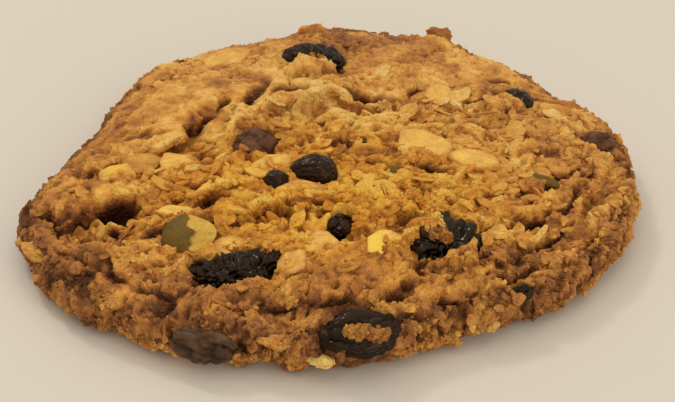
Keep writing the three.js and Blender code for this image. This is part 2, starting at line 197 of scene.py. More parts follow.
def lumps(x, y, cell, series):
    """Highest flat-topped lump over a place, from 0 to 1: one in each cell, with its own middle, reach and
    height, falling as a power of 1 - r^2."""
    highest = np.zeros_like(x)
    for c, r in cells_around(x, y, cell):
        away_x = x - (c + 0.15 + 0.7 * draw(c, r, series)) * cell
        away_y = y - (r + 0.15 + 0.7 * draw(c, r, series + 10)) * cell
        reach = cell * (0.7 + 0.4 * draw(c, r, series + 20))
        height = 0.5 + 0.5 * draw(c, r, series + 30)
        inside = 1 - (away_x**2 + away_y**2) / reach**2
        highest = np.maximum(highest, height * np.maximum(inside, 0)**LUMP_POWER)
    return highest


def nearest_on_line(x, y, line):
    """For each place: its distance to a line of points, the share of the way along it, its side (1 on the
    left of the way along), and the direction square to the line there, to the left."""
    least = np.full_like(x, np.inf)
    side, way = np.ones_like(x), np.zeros_like(x)
    left_x, left_y = np.zeros_like(x), np.zeros_like(x)
    lengths = [np.hypot(b[0] - a[0], b[1] - a[1]) for a, b in zip(line, line[1:])]
    done = 0.0
    for (ax, ay), (bx, by), length in zip(line, line[1:], lengths):
        step_x, step_y = (bx - ax) / length, (by - ay) / length
        along = np.clip((x - ax) * step_x + (y - ay) * step_y, 0, length)
        away_x, away_y = x - ax - along * step_x, y - ay - along * step_y
        away = np.hypot(away_x, away_y)
        closer = away < least
        side = np.where(closer, np.sign(away_y * step_x - away_x * step_y), side)
        way = np.where(closer, (done + along) / sum(lengths), way)
        left_x, left_y = np.where(closer, -step_y, left_x), np.where(closer, step_x, left_y)
        least = np.minimum(least, away)
        done += length
    return least, way, side, left_x, left_y


def patch(x, y, middle_x, middle_y, along, across, power=2):
    """1 at the middle of an oval patch and 0 far off: e to minus a power of the squared distance."""
    away = ((x - middle_x) / along)**2 + ((y - middle_y) / across)**2
    return np.exp(-away**power)


def wandered(x, y, by):
    """Places moved by soft noise of up to a given distance, so that outlines become uneven."""
    return x + by * cloud(WANDER_CELL, 30, x, y), y + by * cloud(WANDER_CELL, 31, x, y)


def top_height(x, y, wander=0, calm=1):
    """Height of the top: the dome plus lumps, mounds and ledges and less the crevices, all fading at the rim.
    Outlines may wander, and the lumps lie lower where the dough is calm."""
    share = np.minimum(np.hypot(x, y) / rim_radius(np.arctan2(y, x)), 1)
    bent_x, bent_y = wandered(x, y, wander)
    relief = 0
    for cell, rise, series in LUMP_FIELDS:
        relief = relief + rise * calm * (lumps(bent_x, bent_y, cell, series) - LUMP_MEAN)
    for *oval, rise in MOUNDS:
        relief = relief + rise * patch(x, y, *oval)
    for line, half, depth in CREVICES:
        away = nearest_on_line(bent_x, bent_y, line)[0] / half
        relief = relief - depth * np.exp(-away**2 / 2)
    for line, drop in LEDGES:
        away, way, side = nearest_on_line(bent_x, bent_y, line)[:3]
        front = side * np.minimum(away / LEDGE_SLOPE, 1) * np.sin(np.pi * np.clip(way, 0, 1))**0.5
        relief = relief + front * drop / 2 * np.exp(-away / LEDGE_REACH)
    return dome_height(share) + (1 - smooth(share, TOP_RELIEF_END, 1)) * relief


# The rough round, as the solid has it, calmer where the dough wasn't broken
rough = RIM_RISE * (lumps(angle * HALF_DEPTH, plain_height, RIM_CELL, RIM_DRAW) - LUMP_MEAN)
radius = share * (rim_radius(angle) + rough * smooth(share, RIM_RELIEF_START, 1))
x, y = radius * np.cos(angle), radius * np.sin(angle)
calm = 1 - FAR_CALM * smooth(y, FAR_CALM_START, FAR_CALM_END)
for *oval, eased in CALM_AREAS:
    calm = calm * (1 - eased * patch(x, y, *oval))
z = np.where(on_wall, plain_height, top_height(x, y, WANDER, CALM_LUMPS + (1 - CALM_LUMPS) * calm))

# Each ledge's broken edge is pushed out over what lies below it; the dough below gets painted shade, a darker
# colour
LEDGE_OVERHANG = 0.55
OVERHANG_REACH = 1.6
LEDGE_SHADE = 0.45
SHADE_REACH = 1.1
ENDS_OFF = 0.02
shift_x, shift_y, painted_shade = np.zeros((3, *x.shape))
bent_x, bent_y = wandered(x, y, WANDER)
for line, drop in LEDGES:
    away, way, side, left_x, left_y = nearest_on_line(bent_x, bent_y, line)
    strength = drop * np.sin(np.pi * np.clip(way, ENDS_OFF, 1 - ENDS_OFF))**0.5
    front = -side * np.minimum(away / LEDGE_SLOPE, 1) * LEDGE_OVERHANG
    push = front * strength * np.exp(-(away / OVERHANG_REACH)**2)
    shift_x += push * left_x
    shift_y += push * left_y
    painted_shade = np.maximum(painted_shade, np.where(side < 0, LEDGE_SHADE * strength * np.exp(-away / SHADE_REACH), 0))

# Narrow cracks between layers: line, half width and depth
CRACKS = (
    (((11, -33), (14.3, -32.1), (15.6, -30), (18.8, -28.6), (22.4, -26.4), (26, -24), (30, -21.5)), 0.5, 2.0),
    (((7.5, -33.8), (10.3, -32.8), (13, -32.6)), 0.6, 1.6),
    (((17, -24), (21.4, -22.2), (25.7, -20.8), (30.2, -17.6), (33, -14.5)), 0.6, 2.2),
    (((21, -17.5), (25.8, -15), (31.4, -12.4), (35.5, -7.5)), 0.6, 2.0),
    (((24, -10.5), (29, -9), (33.5, -4.5), (36.5, 0)), 0.5, 1.6),
    (((16, -12), (20.5, -11.6), (24, -9.4)), 0.5, 1.5),
    (((33, -20), (36.5, -15.5), (39.5, -10)), 0.5, 1.4),
    (((-9.1, -31), (-2.8, -31.6), (1.9, -30.6), (5.6, -32.3)), 0.4, 0.8),
    (((-44, -9.7), (-38, -13.2), (-33.7, -13.1), (-27.5, -11.2)), 0.6, 1.6),
    (((-34.4, -15.6), (-30.5, -16.4), (-27.1, -17.8)), 0.7, 1.9),
    (((-37.1, -19.4), (-34.5, -22), (-28.9, -25.6), (-25.4, -27.9), (-21.3, -30.5)), 0.5, 1.4),
    (((-19.4, 5.5), (-17.6, 8.4), (-15.6, 10.8)), 0.8, 1.9),
    (((-9, -14.7), (-4.9, -15.3), (-0.6, -13.8)), 0.5, 1.2),
    (((0.5, 8.2), (3.2, 8.8), (6, 8)), 0.6, 1.3),
    (((-26, -6.6), (-21, -8.2), (-16, -7.8)), 0.45, 1.1),
    (((3, -2.5), (7.5, -4.2), (12, -3.6)), 0.5, 1.1),
    (((19, 7), (24, 6.2), (28, 8)), 0.4, 1.0),
    (((12.5, -26.5), (11.8, -24.5), (13.2, -23)), 0.7, 1.5),
)
# Hollows, also darkened with painted shade: middle, length, width, turn and depth
HOLLOWS = (
    (-30, -12, 5.5, 3, 5, 2.4), (-31, -16.5, 5, 2, 15, 2), (-25, -13.5, 2.5, 2, 0, 1.4),
    (-18.5, -12.5, 2, 1.5, 0, 1.2), (-24, -19, 3, 2.5, 20, 1.6), (-25, -6, 1.5, 1.5, 0, 0.9),
    (-16, -11, 5, 2, 0, 0.9), (-33, -25, 3.5, 2, 10, 1), (-29, -27, 4, 1.5, -35, 1),
    (-22, -31, 3.5, 1.5, -55, 1.2), (-28, 2.5, 5, 1.3, 10, 0.9), (-19.5, 6, 6, 2.5, 65, 1.6),
    (-12.5, 5, 4, 2, 30, 1.2), (-17.5, 2.5, 2.5, 1, -10, 1), (-11, 13, 6, 2, 65, 1.7),
    (-6.5, 12.5, 5, 1.2, 10, 1.2), (4.5, 13.5, 7, 1.4, -8, 1.5), (12.5, 15, 3, 1.6, 30, 1.5),
    (21.5, 12.5, 3, 1, 10, 0.9), (25, 18, 3, 1.3, 0, 1.2), (1, 1.5, 3.5, 2, 0, 1.3),
    (4.5, 1.5, 1.5, 1.2, 60, 1.3), (2.5, 6, 2, 1, 20, 0.9), (-2.5, -12.5, 6, 2, 20, 1.2),
    (1, -17.5, 3.5, 2.5, 60, 1.4), (-0.5, -20, 2.5, 1.8, 30, 1.3), (-6, -17, 3.5, 1, 45, 0.8),
    (9, -13, 2, 1.5, 70, 1), (9.5, -15.5, 3, 1.5, 50, 1.1), (9.5, -29, 4.5, 2.5, 45, 1.4),
    (0, -31, 10, 1.5, -5, 0.8), (13, -9.5, 2.2, 1, 0, 1), (14.5, -5, 4.5, 1.6, -15, 1.4),
    (24.5, -7.5, 1.5, 0.8, 0, 0.8), (26, -14, 4.5, 1.3, 10, 1.1), (28.5, -16, 2.5, 1, 30, 0.9),
    (25.5, -22, 3.5, 1.2, -10, 0.9), (36, -18.5, 3, 1.2, 60, 0.9), (36.5, -3, 3, 1.5, 50, 0.9),
    (34.5, -6.5, 3, 1.4, 55, 0.9), (30, 0, 5, 1.6, 0, 1), (40.5, -13, 2.5, 1, -55, 0.8),
    (17.5, -32, 3, 1.2, 75, 1),
)
# Pale crests of dough, partly paler crust and partly painted highlight: middle, length, width and turn
CRESTS = (
    (-1, 10.5, 8, 2.5, -10), (5, 18, 6, 1.8, 15), (-8.5, 18.5, 4, 2.5, 90), (-27, -8.5, 5, 2.2, 10),
    (-16, -8.5, 6, 1.5, 10), (-10, -13.5, 7, 1.5, 20), (-24.5, -16.5, 4.5, 1.5, 20), (-16, -1, 4, 1.8, 0),
    (3.5, -2.5, 3, 1.5, 30), (5, -9.5, 5, 1.5, 5), (17, -11.5, 4, 1.3, 15), (24, -9, 2.5, 1.2, -50),
)
CRACK_WANDER = 0.7
CRACK_SHADE = 0.7
SINK = 0.7
FULL_SHADE_DEPTH = 1.4
HOLLOW_SPREAD = 1.15
CREST_SPREAD = 1.2
CREST_RISE = 0.35


def oval_reach(x, y, middle_x, middle_y, long, wide, turn):
    """Distance from an oval's middle in plan, as a share of its own reach in that direction."""
    c, s = np.cos(np.radians(turn)), np.sin(np.radians(turn))
    along = (x - middle_x) * c + (y - middle_y) * s
    across = (y - middle_y) * c - (x - middle_x) * s
    return np.hypot(along / (long / 2), across / (wide / 2))


wander_x = x + CRACK_WANDER * cloud(1.9, 34, x, y)
wander_y = y + CRACK_WANDER * cloud(1.9, 35, x, y)
broken_off, pale_crest = np.zeros((2, *x.shape))
# Cracks and hollows sink the skin and add painted shade to its colour, darkest in the deepest hollows
for line, half, depth in CRACKS:
    away, way = nearest_on_line(wander_x, wander_y, line)[:2]
    open_width = half * (0.6 + 0.5 * np.sin(np.pi * way)) * (1 + 0.5 * cloud(2.6, 36, x, y))
    gap = np.exp(-(away / open_width)**2)
    broken_off -= SINK * depth * gap
    painted_shade = np.maximum(painted_shade, CRACK_SHADE * gap)
for *oval, depth in HOLLOWS:
    inside = np.exp(-(oval_reach(wander_x, wander_y, *oval) / HOLLOW_SPREAD)**4)
    broken_off -= SINK * depth * inside
    painted_shade = np.maximum(painted_shade, depth / FULL_SHADE_DEPTH * inside)
for oval in CRESTS:
    inside = np.exp(-(oval_reach(wander_x, wander_y, *oval) / CREST_SPREAD)**4)
    pale_crest = np.maximum(pale_crest, inside)
broken_off += CREST_RISE * pale_crest

# Raisins and the seed: middle, depth under the dough's surface (none for the one at the foot of the wall),
# length, width, thickness, turn and lean
RAISINS = {
    "raisin_far": (-2.8, 22.4, 0.1, 10.4, 7, 5.4, -18, 8),
    "raisin_brown": (-10.8, 0.8, 1.2, 7, 6.4, 4.6, -20, 12),
    "raisin_middle": (-2.6, -6, 0.4, 7.2, 5.2, 5, -8, 18),
    "raisin_bead": (-7.8, -7.6, 1.0, 4, 3.6, 3.2, 0, 15),
    "raisin_long": (-12.8, -25.4, 0.7, 14, 6.4, 4.6, 6, 14),
    "raisin_split": (15, -19.8, 0.8, 11.4, 10, 5, -16, 12),
    "raisin_pit": (1.2, -16, 1.5, 4.4, 3.8, 3.6, 30, 10),
    "raisin_ring": (3.8, -35, 1.1, 11.6, 7, 4.8, 6, 38),
    "raisin_foot": (-16.6, -34.6, None, 10.4, 4.8, 5.2, -14, 10),
    "raisin_corner": (26.6, 13, 1.4, 7.4, 7, 4.6, 10, 8),
    "raisin_edge": (38.2, 4.4, 1.2, 6.4, 5, 4.6, 30, 0),
    "raisin_speck": (25.4, -26.6, 0.7, 3.4, 2.4, 2.4, 8, 30),
}
SEED_PLACE = (-19.2, -20, 0.2, 7.6, 6.8, 3, 12, 24)
SEAT_DEPTH = 1.9
# Dough laid over a raisin: middle, depth under the surface, length, width, thickness and turn
COVERS = (
    (-3.4, 18.6, 0.2, 8.4, 4.6, 4.6, 26), (12.8, -19, 0.2, 7, 5, 5.4, 10),
    (17.2, -23.8, 0.2, 5, 3.6, 3.8, 20), (25, 11, 0.2, 5.8, 5, 4, 0), (-15.6, -33, 0.4, 6.8, 3.8, 3, -16),
)
seats, collar, covers = np.zeros((3, *x.shape))
ragged = 1 + 0.2 * cloud(1.4, 55, x, y)
for middle_x, middle_y, _, long, wide, _, turn, _ in (*RAISINS.values(), SEED_PLACE):
    reach = oval_reach(x, y, middle_x, middle_y, long, wide, turn)
    seats += SEAT_DEPTH * (1 - smooth(reach * ragged, 0.72, 0.98))
    collar = np.maximum(collar, np.exp(-((reach - 1.04) / 0.16)**2))
lips = collar * np.maximum(0.15 + 0.8 * cloud(2.4, 56, x, y), 0)
for middle_x, middle_y, sunk, long, wide, thick, turn in COVERS:
    reach = oval_reach(x, y, middle_x, middle_y, long, wide, turn)
    reach = reach * (1 + 0.18 * cloud(1.6, 37, x, y))
    covers = np.maximum(covers, thick / 2 * np.maximum(1 - reach**2, 0)**0.35 - sunk)
seats = seats * (1 - smooth(covers, 0, 0.4))

# Broken flat layers in the crust: cell that holds one, number of the draw, rise and spread of their browning
PLATE_FIELDS = ((6.4, 50, 0.5, 0.24), (3.2, 60, 0.5, 0.26), (1.7, 70, 0.34, 0.16))
GRAIN_CELL = 1.15
GRAIN_DRAW = 80
PLATE_MEAN = 0.6
PLATE_SPREAD = np.radians(100)
# Round holes: cell that may hold one, number of the draw, share of the cells that do, and depth
PIT_FIELDS = ((4.2, 90, 0.4, 1.2), (2.1, 95, 0.35, 0.8))
SPLIT_DEPTH = 0.6


def plates(x, y, cell, series, way):
    """Broken flat layers: an oval plate in each cell with its own middle, height and tilt, turned to within
    50 degrees of a given way, falling off steeply at its edge. Gives the height of the highest plate over a
    place, about 0 to 1, and that plate's own draw."""
    highest = np.full_like(x, -0.6)
    tone = np.full_like(x, 0.5)
    for c, r in cells_around(x, y, cell):
        away_x = (x - (c + draw(c, r, series)) * cell) / cell
        away_y = (y - (r + draw(c, r, series + 1)) * cell) / cell
        turn = way + PLATE_SPREAD * (draw(c, r, series + 2) - 0.5)
        along = away_x * np.cos(turn) + away_y * np.sin(turn)
        across = away_y * np.cos(turn) - away_x * np.sin(turn)
        half_long = 0.6 + 0.4 * draw(c, r, series + 3)
        half_wide = 0.4 + 0.25 * draw(c, r, series + 4)
        reach = (along / half_long)**2 + (across / half_wide)**2
        tilt = (draw(c, r, series + 6) - 0.5) * along + (draw(c, r, series + 7) - 0.5) * across
        height = draw(c, r, series + 5) + 0.9 * tilt - 5 * np.maximum(reach - 0.85, 0)
        tone = np.where(height > highest, draw(c, r, series + 8), tone)
        highest = np.maximum(highest, height)
    return highest, tone


def pits(x, y, cell, series, chance):
    """Round holes, from 0 to 1 deep: in a share of the cells, each with its own middle and reach."""
    deepest = np.zeros_like(x)
    for c, r in cells_around(x, y, cell):
        away = np.hypot(x - (c + draw(c, r, series)) * cell, y - (r + draw(c, r, series + 1)) * cell)
        reach = cell * (0.1 + 0.18 * draw(c, r, series + 2))
        there = draw(c, r, series + 3) < chance
        deepest = np.maximum(deepest, there * (1 - smooth(away, 0.4 * reach, reach)))
    return deepest


def blur(field, cells):
    """Mean of a grid's values over a square of cells on each side, from running sums along both ways."""
    width = 2 * cells + 1
    for axis in (0, 1):
        padded = np.pad(field, [(cells + 1, cells) if axis == way else (0, 0) for way in (0, 1)], mode="edge")
        total = np.cumsum(padded, axis)
        ahead = np.take(total, np.arange(width, total.shape[axis]), axis)
        behind = np.take(total, np.arange(total.shape[axis] - width), axis)
        field = (ahead - behind) / width
    return field


def grid_normals(points):
    """Outward direction at each point of a grid: the cross product of the steps along its two ways."""
    across = np.cross(np.gradient(points, axis=0), np.gradient(points, axis=1))
    return across / np.maximum(np.linalg.norm(across, axis=-1, keepdims=True), 1e-9)


# Fine relief, laid out on the skin as if it were rolled flat, its layers turned along the rim
flat_x, flat_y = gone * np.cos(angle), gone * np.sin(angle)
warp_x = flat_x + 0.9 * cloud(3.1, 40, flat_x, flat_y) + 0.35 * cloud(1.1, 41, flat_x, flat_y)
warp_y = flat_y + 0.9 * cloud(3.1, 42, flat_x, flat_y) + 0.35 * cloud(1.1, 43, flat_x, flat_y)
tangent = np.arctan2(np.cos(angle) * HALF_DEPTH, -np.sin(angle) * HALF_WIDTH)
layers_way = 0.6 * np.arctan(np.tan(tangent)) * smooth(share, 0.1, 0.6)
fine, plate_toast = np.zeros((2, *x.shape))
for cell, series, rise, browning in PLATE_FIELDS:
    height, tone = plates(warp_x, warp_y, cell, series, layers_way)
    fine += rise * (height - PLATE_MEAN)
    plate_toast += browning * (tone - 0.5)
for cell, series, chance, depth in PIT_FIELDS:
    fine -= depth * pits(warp_x, warp_y, cell, series, chance)
where_split = smooth(cloud(8.0, 48, flat_x, flat_y), -0.3, 0.3)
fine -= SPLIT_DEPTH * np.exp(-np.abs(cloud(4.6, 47, warp_x, warp_y)) / 0.07) * where_split
crumbly = smooth(cloud(9.0, 44, flat_x, flat_y), -0.4, 0.5)
grain_rise = 0.2 + 0.14 * crumbly + 0.1 * smooth(share, 0.9, 1)
grain = grain_rise * (plates(warp_x, warp_y, GRAIN_CELL, GRAIN_DRAW, layers_way)[0] - PLATE_MEAN)
rising = smooth(plain_height, -0.4, 0.8)
fine = (fine * calm + grain * (0.45 + 0.55 * calm)) * rising
fine = np.where(seats < 0.3, fine, 0.5 * fine)

# The skin: the rough round with its broken places, then the fine relief, and the crumbled steep faces
LEAST_HEIGHT = 0.02
top_weight = np.where(on_wall, 0, 1 - smooth(share, 0.9, 1))
z = z + top_weight * (broken_off - seats + covers + lips)
points = np.stack([x + top_weight * shift_x, y + top_weight * shift_y, z], -1)
facing = grid_normals(np.stack([blur(points[..., axis], 8) for axis in range(3)], -1))
points = points + fine[..., None] * facing
steep = 1 - smooth(grid_normals(points)[..., 2], 0.15, 0.75)
crumble = cloud(0.9, 49, *np.moveaxis(points, -1, 0)) + 0.6 * cloud(2.0, 52, *np.moveaxis(points, -1, 0))
points = points + ((0.08 + 0.3 * steep * top_weight) * rising * crumble)[..., None] * facing
points[..., 2] = np.where(plain_height <= 0, 0, np.maximum(points[..., 2], LEAST_HEIGHT))

# Browning of the crust from 0 to 1, with painted highlight and shade: its mean, and what the rim, the wall,
# proud edges and the rest add
TOAST_MEAN = 0.395
TOAST_RIM = 0.18
TOAST_WALL = 0.02
TOAST_PROUD_HIGHLIGHT = -0.24
TOAST_PAINTED_SHADE = 0.26
TOAST_CREST_HIGHLIGHT = -0.24
TOAST_COLLAR_SHADE = 0.2
# Browning that grows towards a side: way along x and y, where it starts and ends, and amount (the near-side
# row is partly painted shade)
BROWN_SIDES = (
    (0, -1, -6, 34, 0.09), (-1, 0, 22, 38, 0.10), (-1, 0, 33, 42, 0.16), (1, 0, 20, 40, 0.08),
    (0, 1, 18, 34, 0.14),
)
# Browner and paler patches: middle, half sizes, power of their fall and amount
BROWN_PATCHES = ((-21, 10, 12, 8, 2, -0.08), (4, -6, 18, 13, 1, -0.05), (-24, -7, 10, 7, 1, 0.06))
# Uneven browning all over: cell of the noise, number of the draw and amount
BROWN_CLOUDS = ((7.5, 45, 0.14), (2.2, 46, 0.10))
# Middle richest in butter: middle, half sizes and power of its fall
BUTTER_PATCH = (-2, -11, 30, 17, 1.5)
relief = points[..., 2] * top_weight + fine * (1 - top_weight)
deep_wide = np.clip((blur(relief, 9) - relief) / 1.6, -1, 1)
deep_close = np.clip((blur(relief, 3) - relief) / 0.5, -1, 1)
# Proud edges get a painted highlight: they are painted paler
proud = 0.5 * np.maximum(-deep_wide, 0) + 0.5 * np.maximum(-deep_close, 0)
rim = smooth(share, 0.66, 1.0) * (1 - 0.6 * smooth(y, 0, 30))
toast = TOAST_MEAN + TOAST_RIM * rim + TOAST_WALL * on_wall + TOAST_PROUD_HIGHLIGHT * proud + plate_toast
for way_x, way_y, start, end, amount in BROWN_SIDES:
    toast += amount * smooth(way_x * x + way_y * y, start, end)
for *oval, amount in BROWN_PATCHES:
    toast += amount * patch(x, y, *oval)
for cell, series, amount in BROWN_CLOUDS:
    toast += amount * cloud(cell, series, flat_x, flat_y)
# Painted shade browns the crust under ledges and in cracks and hollows, and the crests are painted paler
toast += TOAST_PAINTED_SHADE * painted_shade + TOAST_CREST_HIGHLIGHT * pale_crest
# A ragged darker ring round each raisin and the seed: partly juice stain, partly painted shade where they sit
toast += TOAST_COLLAR_SHADE * collar * (0.6 + cloud(2.0, 57, x, y))
# The marks that the finish reads, with the middle of the underside last; the second one is painted shade
dough_marks = {
    "toast": np.append(np.clip(toast, 0, 1), 0.6),
    "deep": np.append(np.clip(0.36 * deep_wide + 0.32 * deep_close + 0.6 * painted_shade, 0, 1.18), 0),
    "rich": np.append(patch(x, y, *BUTTER_PATCH), 0),
}


class Tone:
    """One socket of a finish's node tree. Sums and products of tones and numbers add Math nodes to it."""

    def __init__(self, tree, socket=None):
        self.tree = tree
        self.socket = socket

    def add(self, kind, settings=None, sockets=None, out=None):
        """Adds a node of a kind: its settings first, a ramp's colours among them, then the values or links of
        its sockets. Gives the output asked for."""
        node = self.tree.nodes.new(kind)
        for name, value in (settings or {}).items():
            if name == "colours":
                self.set_colours(node.color_ramp.elements, value)
            else:
                setattr(node, name, value)
        for name, value in (sockets or {}).items():
            if isinstance(value, Tone):
                self.tree.links.new(value.socket, node.inputs[name])
            else:
                node.inputs[name].default_value = value
        return None if out is None else Tone(self.tree, node.outputs[out])

    @staticmethod
    def set_colours(elements, colours):
        """Sets a ramp's two ends to the first and last colours, and adds the others evenly between them."""
        elements[0].color = colours[0]
        elements[1].color = colours[-1]
        for index, colour in enumerate(colours[1:-1], 1):
            elements.new(index / (len(colours) - 1)).color = colour

    def math(self, operation, first, second):
        """A Math node of two tones or numbers."""
        return self.add("ShaderNodeMath", {"operation": operation}, {0: first, 1: second}, "Value")

    def __add__(self, other):
        return self.math("ADD", self, other)

    __radd__ = __add__

    def __sub__(self, other):
        return self.math("SUBTRACT", self, other)

    def __rsub__(self, other):
        return self.math("SUBTRACT", other, self)

    def __mul__(self, other):
        return self.math("MULTIPLY", self, other)

    __rmul__ = __mul__

    def mark(self, name):
        """A value that the mesh carries at each point."""
        return self.add("ShaderNodeAttribute", {"attribute_name": name}, None, "Fac")

    def grain(self, size, detail=2.0):
        """Noise of about that grain size in metres, on the piece's own coordinates, about 0.5 in the mean."""
        place = self.add("ShaderNodeTexCoord", None, None, "Object")
        sockets = {"Vector": place, "Scale": 1 / size, "Detail": detail}
        return self.add("ShaderNodeTexNoise", None, sockets, "Fac")

    def ramp(self, *colours):
        """A colour for each value from 0 to 1, blended between evenly spaced colours."""
        return self.add("ShaderNodeValToRGB", {"colours": colours}, {"Fac": self}, "Color")

    def mix(self, how, share, low, high):
        """A Mix node of two colours: inputs 0, 6 and 7 are its factor and colours, output 2 its result."""
        settings = {"data_type": "RGBA", "blend_type": how, "clamp_factor": True}
        return self.add("ShaderNodeMix", settings, {0: share, 6: low, 7: high}, 2)

    def blend(self, low, high):
        """Colour low where this value is 0 and high where it is 1."""
        return self.mix("MIX", self, low, high)

    def times(self, other):
        """This colour multiplied by another."""
        return self.mix("MULTIPLY", 1.0, self, other)

    def bump(self, strength, depth):
        """The normal of a surface on which this value is a height, of a strength and a depth in metres."""
        sockets = {"Strength": strength, "Distance": depth, "Height": self}
        return self.add("ShaderNodeBump", None, sockets, "Normal")


def new_finish(name):
    """An empty material and the tone that starts its node tree."""
    finish = bpy.data.materials.new(name)
    finish.use_nodes = True
    finish.node_tree.nodes.clear()
    return finish, Tone(finish.node_tree)


def close_finish(tree, **sockets):
    """Ends a finish with its shader: sockets by name, with underscores for spaces."""
    named = {name.replace("_", " "): value for name, value in sockets.items()}
    shader = tree.add("ShaderNodeBsdfPrincipled", None, named, "BSDF")
    tree.add("ShaderNodeOutputMaterial", None, {"Surface": shader})


def linear(red, green, blue):
    """A colour's light in each channel, and full cover, from the 0 to 255 values that a screen shows."""
    shown = np.array([red, green, blue]) / 255
    light = np.where(shown <= 0.04045, shown / 12.92, ((shown + 0.055) / 1.055)**2.4)
    return (*light.tolist(), 1.0)


def new_object(name, data):
    """An object that shows a mesh, a lamp or a camera in the scene."""
    thing = bpy.data.objects.new(name, data)
    bpy.context.scene.collection.objects.link(thing)
    return thing


def make_piece(name, shapes, finish, marks, *face_sets, rounded=True):
    """A mesh piece of one or more like shapes that rides on the cookie's one body: the shapes' points in
    millimetres, its finish, its marks (named values for a shape's points, or one for each shape), sets of
    faces as rows of corner numbers, and whether its faces blend."""
    shapes = np.reshape(shapes, (-1, *np.shape(shapes)[-2:]))
    starts = shapes.shape[1] * np.arange(len(shapes))[:, None, None]
    corners = []
    for faces in face_sets:
        corners += (faces + starts).reshape(-1, faces.shape[1]).tolist()
    mesh = bpy.data.meshes.new(name)
    mesh.from_pydata((shapes.reshape(-1, 3) * MM).tolist(), [], corners)
    mesh.polygons.foreach_set("use_smooth", np.full(len(corners), rounded))
    for mark, values in marks.items():
        values = np.broadcast_to(values, shapes.shape[:2]).astype(np.float32)
        mesh.attributes.new(mark, "FLOAT", "POINT").data.foreach_set("value", values.ravel())
    mesh.materials.append(finish)
    piece = new_object(name, mesh)
    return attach(piece, "root")


# The crust's colours, from pale golden crumb to dark brown, darker where painted shade lies and yellower
# where rich
CRUST_COLOURS = (
    linear(250, 200, 100), linear(236, 170, 70), linear(208, 138, 56),
    linear(166, 104, 48), linear(114, 68, 32),
)
OPEN_TINT = (1.0, 1.0, 1.0, 1.0)
HOLLOW_SHADE_TINT = linear(104, 54, 20)
LEAN_TINT = (1.0, 1.06, 1.5, 1.0)
RICH_TINT = (1.0, 0.96, 0.7, 1.0)
dough_finish, tree = new_finish("baked_dough")
deep = tree.mark("deep")
browned_and_shaded = tree.mark("toast") + 0.6 * (tree.grain(0.0009, 3.0) - 0.5) + 0.6 * (tree.grain(0.0035) - 0.5)
shade_tint = (0.85 * deep).blend(OPEN_TINT, HOLLOW_SHADE_TINT)
butter = tree.mark("rich").blend(LEAN_TINT, RICH_TINT)
crust = (browned_and_shaded + 0.22 * deep).ramp(*CRUST_COLOURS).times(shade_tint).times(butter)
crumb = tree.grain(0.0005, 3.0) + 0.8 * tree.grain(0.0014)
close_finish(
    tree, Base_Color=crust, Roughness=0.62 + 0.3 * (tree.grain(0.002) - 0.5), Normal=crumb.bump(0.8, 0.0009),
    Specular_IOR_Level=0.25, Specular_Tint=(1.0, 0.8, 0.55, 1), Subsurface_Weight=0.3,
    Subsurface_Radius=(1.0, 0.5, 0.2), Subsurface_Scale=0.0008)

# The mesh: squares between the grid's points, and a fan of triangles that closes the underside
count = GRID_CELLS + 1
number = np.arange(count * count).reshape(count, count)
squares = np.stack([number[:-1, :-1], number[:-1, 1:], number[1:, 1:], number[1:, :-1]], -1).reshape(-1, 4)
border = np.concatenate([number[0, :-1], number[:-1, -1], number[-1, :0:-1], number[:0:-1, 0]])
below = np.stack([np.full(len(border), count * count), border, np.roll(border, -1)], -1)
skin_points = np.append(points.reshape(-1, 3), [[0, 0, 0]], 0)
skin_facing = facing.reshape(-1, 3)
dough = make_piece("dough_round", skin_points, dough_finish, dough_marks, squares, below)
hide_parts("dough")

# The raisins: dried grapes with soft skins that shrank into folds, pressed into the dough before baking.
# Each is a wrinkled ball along its length, black and half glossy, or brown where the oven dried it.
RAISIN_AROUND = 120
RAISIN_RINGS = 78
FOOT_HEIGHT = 3.8
RAISIN_GLOSS_TINT = (1.0, 0.66, 0.42, 1)


def ball_grid(around, rings):
    """A ball of radius 1 as rings of points between two poles on X: each point's angle round the axis, angle
    from the first pole and place, and the corner numbers of the triangles, facing out."""
    turn = np.tile(np.linspace(0, 2 * np.pi, around, endpoint=False), rings)
    tilt = np.repeat(np.linspace(0, np.pi, rings + 2)[1:-1], around)
    turn, tilt = np.concatenate([[0], turn, [0]]), np.concatenate([[0], tilt, [np.pi]])
    ball = np.stack([np.cos(tilt), np.sin(tilt) * np.cos(turn), np.sin(tilt) * np.sin(turn)], -1)
    here = 1 + np.arange(rings * around).reshape(rings, around)
    beside = np.roll(here, -1, 1)
    last = rings * around + 1
    first_cap = np.stack([np.zeros(around, int), here[0], beside[0]], -1)
    last_cap = np.stack([np.full(around, last), beside[-1], here[-1]], -1)
    upper = np.stack([here[:-1], here[1:], beside[1:]], -1).reshape(-1, 3)
    lower = np.stack([here[:-1], beside[1:], beside[:-1]], -1).reshape(-1, 3)
    return turn, tilt, ball, np.concatenate([first_cap, upper, lower, last_cap])


def turned(points, turn, lean=0, roll=0):
    """Points rolled about Y, leaned about X and then turned about Z, in degrees."""
    (a, b, c), (d, e, f) = np.cos(np.radians([turn, lean, roll])), np.sin(np.radians([turn, lean, roll]))
    about_z = np.array([(a, -d, 0), (d, a, 0), (0, 0, 1)])
    about_x = np.array([(1, 0, 0), (0, b, -e), (0, e, b)])
    about_y = np.array([(c, 0, f), (0, 1, 0), (-f, 0, c)])
    return points @ (about_z @ about_x @ about_y).T


def in_top(middle_x, middle_y, sunk):
    """A place as deep as asked under the solid's own top."""
    return middle_x, middle_y, float(top_height(np.array([middle_x]), np.array([middle_y]))[0]) - sunk


